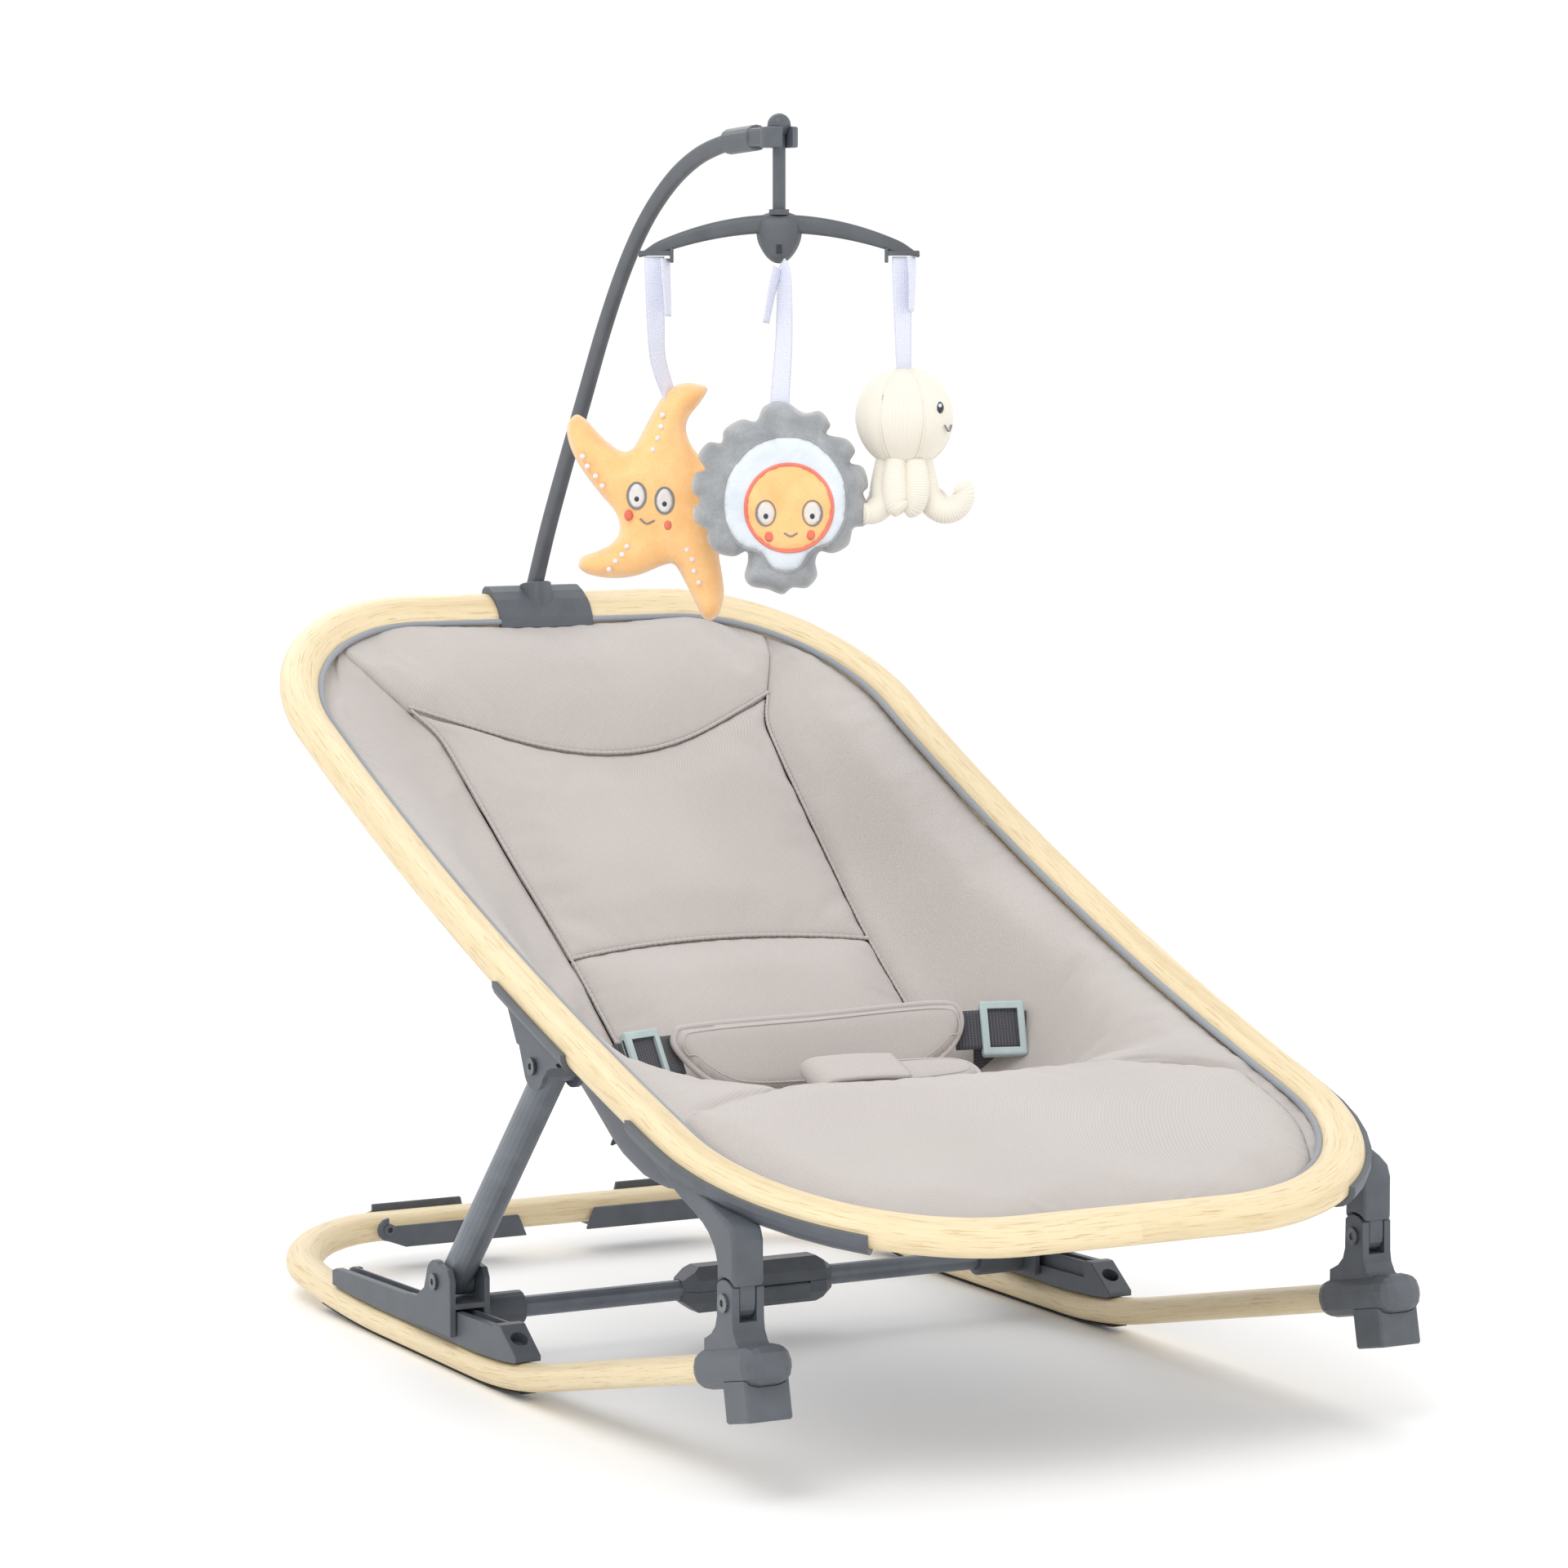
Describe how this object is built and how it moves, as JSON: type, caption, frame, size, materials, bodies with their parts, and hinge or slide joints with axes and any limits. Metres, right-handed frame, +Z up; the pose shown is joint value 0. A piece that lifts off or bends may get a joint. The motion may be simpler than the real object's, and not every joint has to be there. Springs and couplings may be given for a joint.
{
  "type": "baby bouncer seat",
  "caption": "Reclining rocker seat for a baby: bent-wood ring and rockers, padded fabric bucket with waist harness, sliding prop carriages and a toy bar with a hanging mobile.",
  "frame": {"origin": "on the floor under the middle of the object", "axes": "+Z up, +Y towards the head end, +X to the seat's right side seen from the foot end"},
  "size_m": [0.449, 0.7807, 0.7552],
  "materials": {
    "wood": "bent, satin, light",
    "grey_plastic": "satin",
    "grey_paint": "powder coat",
    "grip_rubber": "matt",
    "steel": "dark",
    "liner_fabric": "twill",
    "sling_fabric": "plain weave",
    "webbing": "woven",
    "pale_plastic": "satin",
    "ribbon": "ribbon",
    "orange_plush": "plush",
    "grey_plush": "plush",
    "cream_knit": "rib knit"
  },
  "bodies": {
    "base": {"base_hoop": "wood", "grip_strip_left": "grip_rubber", "grip_strip_right": "grip_rubber", "front_foot_left": "grey_plastic", "front_foot_right": "grey_plastic", "foot_block_left": "grey_plastic", "foot_block_right": "grey_plastic", "slide_rail_left": "grey_plastic", "slide_rail_right": "grey_plastic"},
    "seat": {"seat_hoop": "wood", "leg_bracket_left": "grey_plastic", "leg_bracket_right": "grey_plastic", "leg_bolt_left": "steel", "leg_bolt_right": "steel", "prop_bracket_left": "grey_plastic", "prop_bracket_right": "grey_plastic", "prop_bolt_left": "steel", "prop_bolt_right": "steel", "seat_sling": "sling_fabric", "front_pad": "liner_fabric", "seat_bottom_pad": "liner_fabric", "lumbar_pad": "liner_fabric", "back_pad": "liner_fabric", "head_pad": "liner_fabric", "side_wing_left": "liner_fabric", "side_wing_right": "liner_fabric", "waist_pad": "liner_fabric", "crotch_pad": "liner_fabric", "crotch_strap": "webbing", "harness_buckle": "grey_plastic", "waist_strap_left": "webbing", "waist_strap_right": "webbing", "toy_bar_mount": "grey_plastic"},
    "props": {"prop_tube_left": "grey_paint", "prop_tube_right": "grey_paint"},
    "carriages": {"carriage_left": "grey_plastic", "carriage_right": "grey_plastic", "carriage_bolt_left": "steel", "carriage_bolt_right": "steel", "cross_tube_left": "grey_paint", "cross_tube_right": "grey_paint", "handle_housing_upper": "grey_plastic", "handle_housing_lower": "grey_plastic"},
    "release": {"release_paddle": "grey_plastic"},
    "latch_left": {"latch_pin_left": "steel"},
    "latch_right": {"latch_pin_right": "steel"},
    "stop_leg_left": {"stop_leg_left": "grey_plastic"},
    "stop_leg_right": {"stop_leg_right": "grey_plastic"},
    "adjuster_left": {"adjuster_left": "pale_plastic"},
    "adjuster_right": {"adjuster_right": "pale_plastic"},
    "toy_bar": {"toy_bar": "grey_plastic", "toy_bar_clip": "grey_plastic"},
    "mobile": {"mobile_stem": "grey_plastic", "mobile_bow": "grey_plastic"},
    "starfish": {"starfish_ribbon": "ribbon", "starfish_toy": "orange_plush"},
    "scallop": {"scallop_ribbon": "ribbon", "scallop_toy": "grey_plush"},
    "octopus": {"octopus_ribbon": "ribbon", "octopus_toy": "cream_knit"}
  },
  "joints": [
    {"name": "recline", "type": "hinge", "parent": "base", "child": "seat", "pos_m": [0, -0.31, 0.1075], "axis": [1, 0, 0], "range_deg": [-20, 3]},
    {"name": "prop_swing", "type": "hinge", "parent": "seat", "child": "props", "pos_m": [0, -0.08, 0.2045], "axis": [1, 0, 0], "range_deg": [-7.3, 48.1]},
    {"name": "carriage_pivot", "type": "hinge", "parent": "props", "child": "carriages", "pos_m": [0, 0.062, 0.054], "axis": [1, 0, 0], "range_deg": [-28.1, 4.3]},
    {"name": "release_press", "type": "slide", "parent": "carriages", "child": "release", "axis": [0, 1, 0], "range_m": [0, 0.003], "stiffness_N_per_m": 900, "springref_m": -0.002},
    {"name": "latch_left_slide", "type": "slide", "parent": "carriages", "child": "latch_left", "axis": [1, 0, 0], "range_m": [0, 0.003]},
    {"name": "latch_right_slide", "type": "slide", "parent": "carriages", "child": "latch_right", "axis": [-1, 0, 0], "range_m": [0, 0.003]},
    {"name": "stop_leg_left_fold", "type": "hinge", "parent": "base", "child": "stop_leg_left", "pos_m": [-0.123, 0.363, 0.02946], "axis": [0, 1, 0], "range_deg": [0, 90]},
    {"name": "stop_leg_right_fold", "type": "hinge", "parent": "base", "child": "stop_leg_right", "pos_m": [0.123, 0.363, 0.02946], "axis": [0, -1, 0], "range_deg": [0, 90]},
    {"name": "adjuster_left_slide", "type": "slide", "parent": "seat", "child": "adjuster_left", "axis": [0.9511, 0.309, 0], "range_m": [-0.004, 0.004]},
    {"name": "adjuster_right_slide", "type": "slide", "parent": "seat", "child": "adjuster_right", "axis": [-0.9511, 0.309, 0], "range_m": [-0.004, 0.004]},
    {"name": "toy_bar_pull", "type": "slide", "parent": "seat", "child": "toy_bar", "axis": [0, -0.4819, 0.8762], "range_m": [0, 0.01]},
    {"name": "mobile_swivel", "type": "hinge", "parent": "toy_bar", "child": "mobile", "pos_m": [0, 0.0284, 0.75], "axis": [0, 0, 1], "continuous": true},
    {"name": "starfish_swing", "type": "hinge", "parent": "mobile", "child": "starfish", "pos_m": [-0.06357, 0.0622, 0.6655], "axis": [0.8829, -0.4695, 0], "range_deg": [0, 25]},
    {"name": "scallop_swing", "type": "hinge", "parent": "mobile", "child": "scallop", "pos_m": [0, 0.0284, 0.663], "axis": [0.8829, -0.4695, 0], "range_deg": [-25, 0]},
    {"name": "octopus_swing", "type": "hinge", "parent": "mobile", "child": "octopus", "pos_m": [0.0671, -0.00728, 0.6655], "axis": [0.8829, -0.4695, 0], "range_deg": [-25, 25]}
  ],
  "couplings": [
    {"joint": "prop_swing", "follows": "recline", "ratio": -2.4},
    {"joint": "carriage_pivot", "follows": "recline", "ratio": 1.4},
    {"joint": "latch_left_slide", "follows": "release_press", "ratio": 1},
    {"joint": "latch_right_slide", "follows": "release_press", "ratio": 1}
  ]
}
